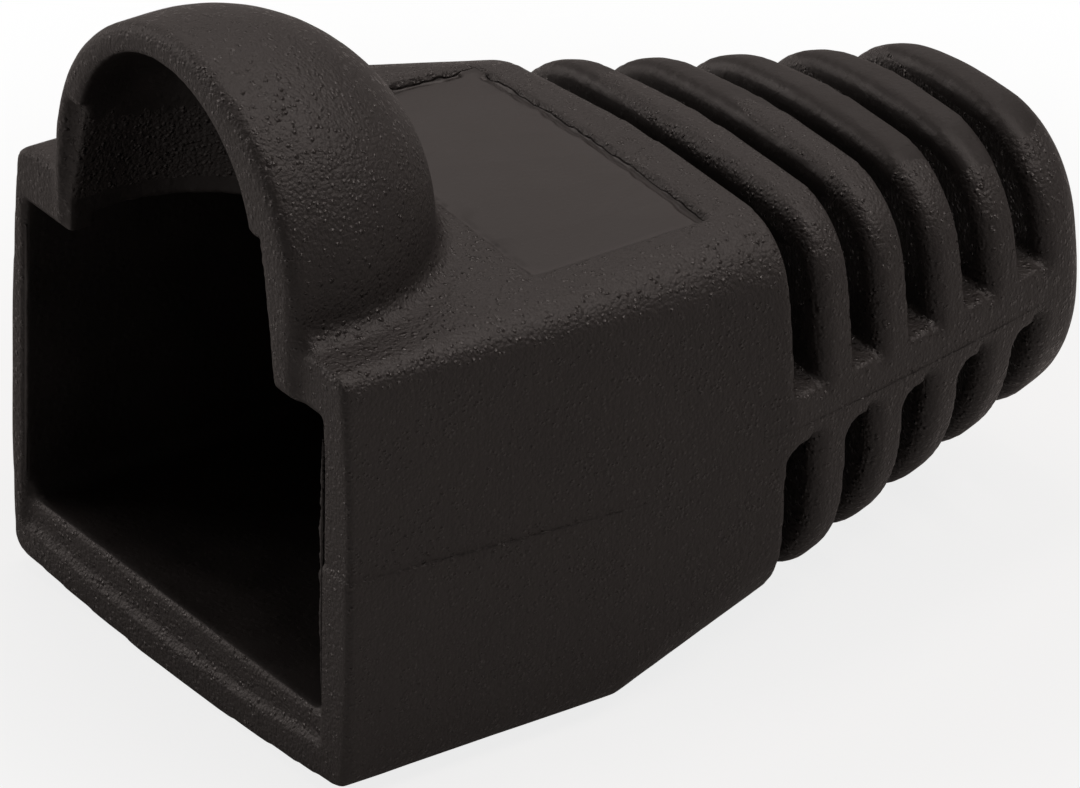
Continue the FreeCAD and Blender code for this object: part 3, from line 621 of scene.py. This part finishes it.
def core_vinyl_painted_shade():
    """The same vinyl where the polished core shaped it, with its colour painted darker as shade on the
    inside.
    """
    material = bpy.data.materials.new("core_vinyl_painted_shade")
    material.use_nodes = True
    nodes = Nodes(material.node_tree)
    shader = material.node_tree.nodes["Principled BSDF"]
    place = place_in_mm(nodes)
    look = grain(nodes, place, CORE_GRAINS, CORE_COARSENESS)
    tone = nodes.between(look["Tone"], TONE_LOW, TONE_HIGH)
    # painted shade: these darker core colours stand in for the shade inside the moulding
    body = nodes.colour(tone, CORE_SHADED_DARK, CORE_SHADED_PALE)
    nodes.put(body, shader.inputs["Base Color"])
    nodes.put(nodes.math("MULTIPLY_ADD", tone, 0.1, ROUGHNESS), shader.inputs["Roughness"])
    drag = nodes.noise(nodes.stretched(place, (9.0, 0.7, 9.0)), 1.0, 3.0, 0.6)
    bump = nodes.add("ShaderNodeBump")
    bump.inputs["Strength"].default_value = 1.0
    bump.inputs["Distance"].default_value = CORE_GRAIN_DEPTH * MM
    nodes.put(nodes.math("ADD", drag, look["Height"]), bump.inputs["Height"])
    nodes.put(bump.outputs["Normal"], shader.inputs["Normal"])
    shader.inputs["Specular IOR Level"].default_value = 0.35
    return material


# The core's finish, with its painted shade, reaches a little past the surfaces that the core shaped.
CORE_ASIDE = CORE_HALF_WIDTH + 0.03
CORE_LEVELS = (-3.84, 4.22)
CORE_FRONT, CORE_BACK = 0.03, CAVITY_DEPTH + 2.6
HOLLOW_SHIFT = -0.35
HOLLOW_HEIGHT = 6.48
HOLLOW_REACH = 3.6
HOLLOW_LEGS_ASIDE = 4.15
HOLLOW_LEG_LEVELS = (3.5, 4.7)
HOLLOW_FRONT = -0.15
BORE_REACH = 2.95
BORE_BACK = 21.5


def shaped_by_core(across, behind, height):
    """Whether a place on the moulding is in the cavity, the hood's hollow or the bore."""
    in_cavity = (
        abs(across - CORE_SHIFT) < CORE_ASIDE
        and CORE_LEVELS[0] < height < CORE_LEVELS[1]
        and CORE_FRONT < behind < CORE_BACK
    )
    aside = across - HOLLOW_SHIFT
    past_arch = max(behind - HOOD_CENTRE_BEHIND_MOUTH, 0)
    in_arch = math.hypot(aside, past_arch, max(height - HOLLOW_HEIGHT, 0)) < HOLLOW_REACH
    between_legs = abs(aside) < HOLLOW_LEGS_ASIDE and height < HOLLOW_LEG_LEVELS[1]
    in_hollow = (in_arch or between_legs) and height > HOLLOW_LEG_LEVELS[0] and behind > HOLLOW_FRONT
    in_bore = math.hypot(across, height) < BORE_REACH and behind < BORE_BACK
    return in_cavity or in_hollow or in_bore


def finish_moulding(piece):
    """The core's finish, painted darker as shade, inside the cavity, the hood and the bore, and the
    skin's everywhere else.
    """
    piece.data.materials.clear()
    piece.data.materials.append(skin_vinyl())
    piece.data.materials.append(core_vinyl_painted_shade())
    for polygon in piece.data.polygons:
        across, behind, height = polygon.center / MM
        if shaped_by_core(across, behind - MOUTH, height - AXIS_HEIGHT):
            polygon.material_index = 1


finish_moulding(boot)


# ---------------------------------------------------------------- floor, light and camera
# sizes in metres
TABLE_RADIUS = 0.25
TABLE_SIDES = 64
TABLE_GAP = 0.00002
TABLE_DARK, TABLE_PALE = (0.47, 0.465, 0.46, 1), (0.51, 0.505, 0.5, 1)
SHADOW_INNER, SHADOW_OUTER = 0.011, 0.030  # the shadow fades out between these, from the middle
NEAR_WHITENESS = 0.82  # how white the table shows there, whatever falls on it
WARM_WHITE = (1.0, 0.885, 0.84)
LIT_POINT = Vector((0, 0, 0.008))  # what the lamps face
# name, direction, distance, width, height and brightness
LAMPS = (
    ("overhead_softbox", (0.1, 0.35, 1.0), 0.42, 0.34, 0.30, 1.6),
    ("rear_left_softbox", (-0.72, 0.49, 0.5), 0.5, 0.42, 0.36, 0.68),
    ("front_left_fill", (-0.9, -0.55, 0.3), 0.5, 0.34, 0.25, 3.0),
    ("key_lamp", (0.33, 0.57, 0.75), 0.5, 0.15, 0.15, 11),
    ("top_lamp", (-0.18, -0.02, 1.0), 0.5, 0.15, 0.13, 9),
)


def table_white():
    """Pale paint, which shows the camera white past the boot's soft shadow."""
    material = bpy.data.materials.new("table_white")
    material.use_nodes = True
    nodes = Nodes(material.node_tree)
    tree = material.node_tree
    tree.nodes.remove(tree.nodes["Principled BSDF"])
    output = tree.nodes["Material Output"]
    mottle = nodes.noise(place_in_mm(nodes), 0.05, 3.0)
    paint = nodes.add("ShaderNodeBsdfDiffuse")
    shade = nodes.colour(nodes.between(mottle, 0.3, 0.7), TABLE_DARK, TABLE_PALE)
    nodes.put(shade, paint.inputs["Color"])
    glow = nodes.add("ShaderNodeEmission")
    glow.inputs["Strength"].default_value = 1.0
    shine = nodes.add("ShaderNodeMixShader")
    path = nodes.add("ShaderNodeLightPath")
    coordinates = nodes.add("ShaderNodeTexCoord")
    length = nodes.add("ShaderNodeVectorMath", operation="LENGTH")
    nodes.put(coordinates.outputs["Object"], length.inputs[0])
    away = nodes.between(length.outputs["Value"], SHADOW_INNER, SHADOW_OUTER, NEAR_WHITENESS, 1.0)
    nodes.put(nodes.math("MULTIPLY", path.outputs["Is Camera Ray"], away), shine.inputs[0])
    tree.links.new(paint.outputs[0], shine.inputs[1])
    tree.links.new(glow.outputs[0], shine.inputs[2])
    tree.links.new(shine.outputs[0], output.inputs["Surface"])
    return material


def table():
    """The table top that the boot stands on."""
    mesh = bpy.data.meshes.new("table_top")
    turns = [2 * math.pi * side / TABLE_SIDES for side in range(TABLE_SIDES)]
    rim = [(TABLE_RADIUS * math.cos(turn), TABLE_RADIUS * math.sin(turn), 0) for turn in turns]
    mesh.from_pydata(rim, [], [tuple(range(TABLE_SIDES))])
    top = bpy.data.objects.new("table_top", mesh)
    bpy.context.scene.collection.objects.link(top)
    top.location.z = cad_low[2] - TABLE_GAP
    mesh.materials.append(table_white())


def softbox(name, direction, distance, width, height, brightness):
    """A rectangular lamp that faces the boot, with that much brightness over its face."""
    data = bpy.data.lights.new(name, "AREA")
    data.shape = "RECTANGLE"
    data.size = width
    data.size_y = height
    data.color = WARM_WHITE
    data.energy = brightness * math.pi * width * height
    lamp = bpy.data.objects.new(name, data)
    bpy.context.scene.collection.objects.link(lamp)
    place = Vector(direction).normalized() * distance + LIT_POINT
    lamp.location = place
    lamp.rotation_euler = (LIT_POINT - place).to_track_quat("-Z", "Y").to_euler()


SURROUND, WHITE = (0.14, 0.123, 0.118, 1), (1, 1, 1, 1)


def studio_world():
    """White to the camera, and a dim even surround for the boot."""
    world = bpy.data.worlds.new("studio")
    world.use_nodes = True
    nodes = Nodes(world.node_tree)
    background = world.node_tree.nodes["Background"]
    path = nodes.add("ShaderNodeLightPath")
    nodes.put(nodes.colour(path.outputs["Is Camera Ray"], SURROUND, WHITE), background.inputs["Color"])
    bpy.context.scene.world = world


table()
studio_world()
for lamp_values in LAMPS:
    softbox(*lamp_values)

AZIMUTH, ELEVATION, ROLL = 55.79, 29.125, 0.52  # degrees
DISTANCE = 700
FRAME_WIDTH = 24.55  # width that the camera sees at that distance
SENSOR_WIDTH = 36
CLIP_NEAR, CLIP_FAR = 0.05, 5  # metres
AIM = (-0.920, 3.5945)  # right of and above the frame's origin, as the camera sees it


def look_from(azimuth, elevation, roll):
    """A long-lens camera from that side, turned about its own axis by roll."""
    azimuth, elevation, roll = (math.radians(angle) for angle in (azimuth, elevation, roll))
    back = Vector(
        (
            math.sin(azimuth) * math.cos(elevation),
            -math.cos(azimuth) * math.cos(elevation),
            math.sin(elevation),
        )
    )
    level_right = Vector((math.cos(azimuth), math.sin(azimuth), 0))
    level_up = back.cross(level_right)
    right = level_right * math.cos(roll) + level_up * math.sin(roll)
    up = level_up * math.cos(roll) - level_right * math.sin(roll)
    aim = right * AIM[0] + up * AIM[1]
    data = bpy.data.cameras.new("camera")
    data.sensor_width = SENSOR_WIDTH
    data.lens = SENSOR_WIDTH * DISTANCE / FRAME_WIDTH
    data.clip_start = CLIP_NEAR
    data.clip_end = CLIP_FAR
    camera = bpy.data.objects.new("camera", data)
    turn = Matrix((right, up, back)).transposed().to_4x4()
    camera.matrix_world = Matrix.Translation((aim + back * DISTANCE) * MM) @ turn
    bpy.context.scene.collection.objects.link(camera)
    bpy.context.scene.camera = camera


look_from(AZIMUTH, ELEVATION, ROLL)
bpy.context.scene.view_settings.view_transform = "Standard"
